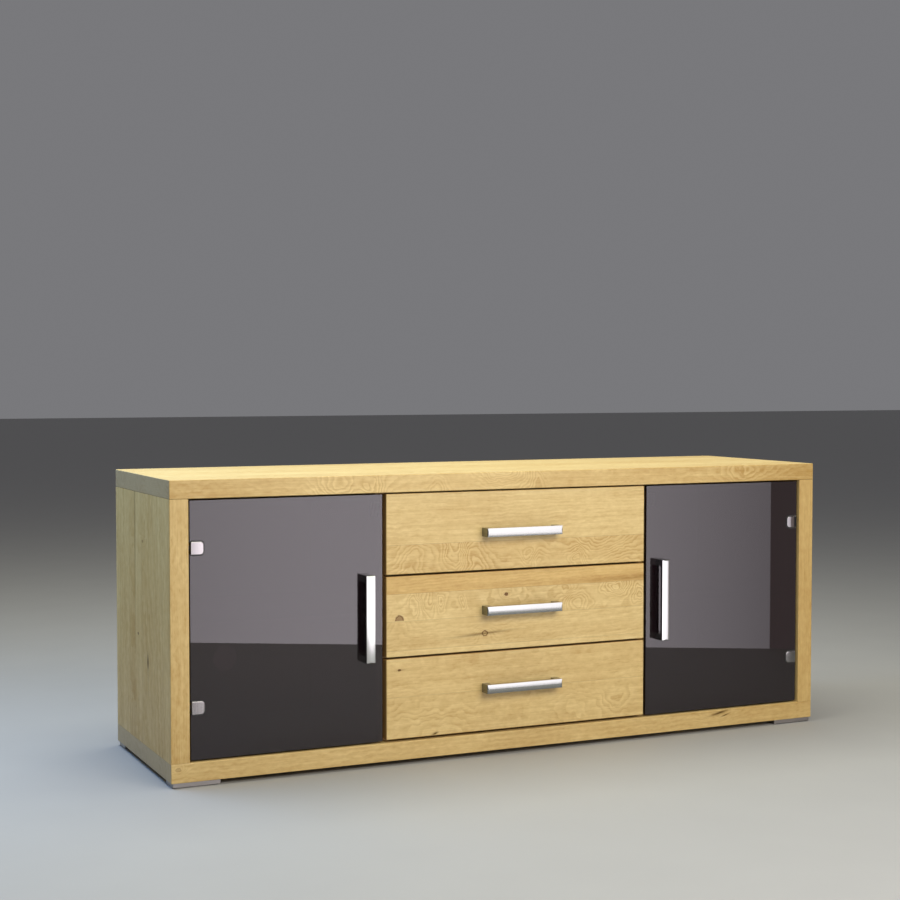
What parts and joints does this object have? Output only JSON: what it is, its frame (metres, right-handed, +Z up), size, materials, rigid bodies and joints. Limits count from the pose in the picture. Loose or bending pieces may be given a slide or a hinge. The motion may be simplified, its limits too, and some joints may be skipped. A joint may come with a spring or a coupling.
{
  "type": "television cabinet",
  "caption": "Low television cabinet in light solid wood: drawers in the middle, a smoked glass door at each side, flat bar handles and low metal feet.",
  "frame": {"origin": "middle of the footprint, handles included, on the floor", "axes": "+X to the cabinet's right as seen from the front, along its length; +Y to the back; +Z up"},
  "size_m": [1.48, 0.443, 0.584],
  "materials": {
    "solid_wood": "oiled light hardwood in glued boards",
    "box_wood": "plain lacquered beech",
    "box_board": "thin plywood",
    "back_board": "veneered board",
    "smoked_glass": "dark smoked, polished edges",
    "handle_metal": "satin nickel",
    "hinge_metal": "satin chrome",
    "foot_metal": "brushed",
    "plated_steel": "zinc plated",
    "black_plastic": "fine grain",
    "glide_rubber": "matt black"
  },
  "bodies": {
    "carcase": {"top_panel": "solid_wood", "base_panel": "solid_wood", "left_side_panel": "solid_wood", "right_side_panel": "solid_wood", "left_divider": "solid_wood", "right_divider": "solid_wood", "carcase_dowels": "box_wood", "shelf_pins": "plated_steel", "back_panel": "back_board", "cable_grommets": "black_plastic", "back_panel_screws": "plated_steel", "left_shelf": "solid_wood", "right_shelf": "solid_wood", "front_feet": "foot_metal", "rear_feet": "foot_metal", "foot_glides": "glide_rubber", "foot_screws": "plated_steel", "hinge_leaves": "hinge_metal", "hinge_pins": "plated_steel", "hinge_leaf_screws": "plated_steel", "door_catches": "black_plastic", "drawer_cabinet_rails": "plated_steel"},
    "left_door": {"left_door_glass": "smoked_glass", "left_door_handle": "handle_metal", "left_door_handle_screws": "plated_steel", "left_door_hinge_caps": "hinge_metal", "left_door_hinge_clamps": "hinge_metal", "left_door_seals": "glide_rubber", "left_door_strike_plate": "plated_steel"},
    "right_door": {"right_door_glass": "smoked_glass", "right_door_handle": "handle_metal", "right_door_handle_screws": "plated_steel", "right_door_hinge_caps": "hinge_metal", "right_door_hinge_clamps": "hinge_metal", "right_door_seals": "glide_rubber", "right_door_strike_plate": "plated_steel"},
    "top_drawer": {"top_drawer_front": "solid_wood", "top_drawer_sides": "box_wood", "top_drawer_back": "box_wood", "top_drawer_bottom": "box_board", "top_drawer_handle": "handle_metal", "top_drawer_handle_screws": "plated_steel", "top_drawer_rails": "plated_steel"},
    "top_runner": {"top_runner_middles": "plated_steel"},
    "middle_drawer": {"middle_drawer_front": "solid_wood", "middle_drawer_sides": "box_wood", "middle_drawer_back": "box_wood", "middle_drawer_bottom": "box_board", "middle_drawer_handle": "handle_metal", "middle_drawer_handle_screws": "plated_steel", "middle_drawer_rails": "plated_steel"},
    "middle_runner": {"middle_runner_middles": "plated_steel"},
    "bottom_drawer": {"bottom_drawer_front": "solid_wood", "bottom_drawer_sides": "box_wood", "bottom_drawer_back": "box_wood", "bottom_drawer_bottom": "box_board", "bottom_drawer_handle": "handle_metal", "bottom_drawer_handle_screws": "plated_steel", "bottom_drawer_rails": "plated_steel"},
    "bottom_runner": {"bottom_runner_middles": "plated_steel"}
  },
  "joints": [
    {"name": "left_door_hinge", "type": "hinge", "parent": "carcase", "child": "left_door", "pos_m": [-0.695, -0.1895, 0.302], "axis": [0, 0, -1], "range_deg": [0, 95]},
    {"name": "right_door_hinge", "type": "hinge", "parent": "carcase", "child": "right_door", "pos_m": [0.695, -0.1895, 0.302], "axis": [0, 0, 1], "range_deg": [0, 95]},
    {"name": "top_drawer_slide", "type": "slide", "parent": "carcase", "child": "top_drawer", "axis": [0, -1, 0], "range_m": [0, 0.34]},
    {"name": "top_runner_slide", "type": "slide", "parent": "carcase", "child": "top_runner", "axis": [0, -1, 0], "range_m": [0, 0.17]},
    {"name": "middle_drawer_slide", "type": "slide", "parent": "carcase", "child": "middle_drawer", "axis": [0, -1, 0], "range_m": [0, 0.34]},
    {"name": "middle_runner_slide", "type": "slide", "parent": "carcase", "child": "middle_runner", "axis": [0, -1, 0], "range_m": [0, 0.17]},
    {"name": "bottom_drawer_slide", "type": "slide", "parent": "carcase", "child": "bottom_drawer", "axis": [0, -1, 0], "range_m": [0, 0.34]},
    {"name": "bottom_runner_slide", "type": "slide", "parent": "carcase", "child": "bottom_runner", "axis": [0, -1, 0], "range_m": [0, 0.17]}
  ],
  "couplings": [
    {"joint": "top_runner_slide", "follows": "top_drawer_slide", "ratio": 0.5},
    {"joint": "middle_runner_slide", "follows": "middle_drawer_slide", "ratio": 0.5},
    {"joint": "bottom_runner_slide", "follows": "bottom_drawer_slide", "ratio": 0.5}
  ]
}
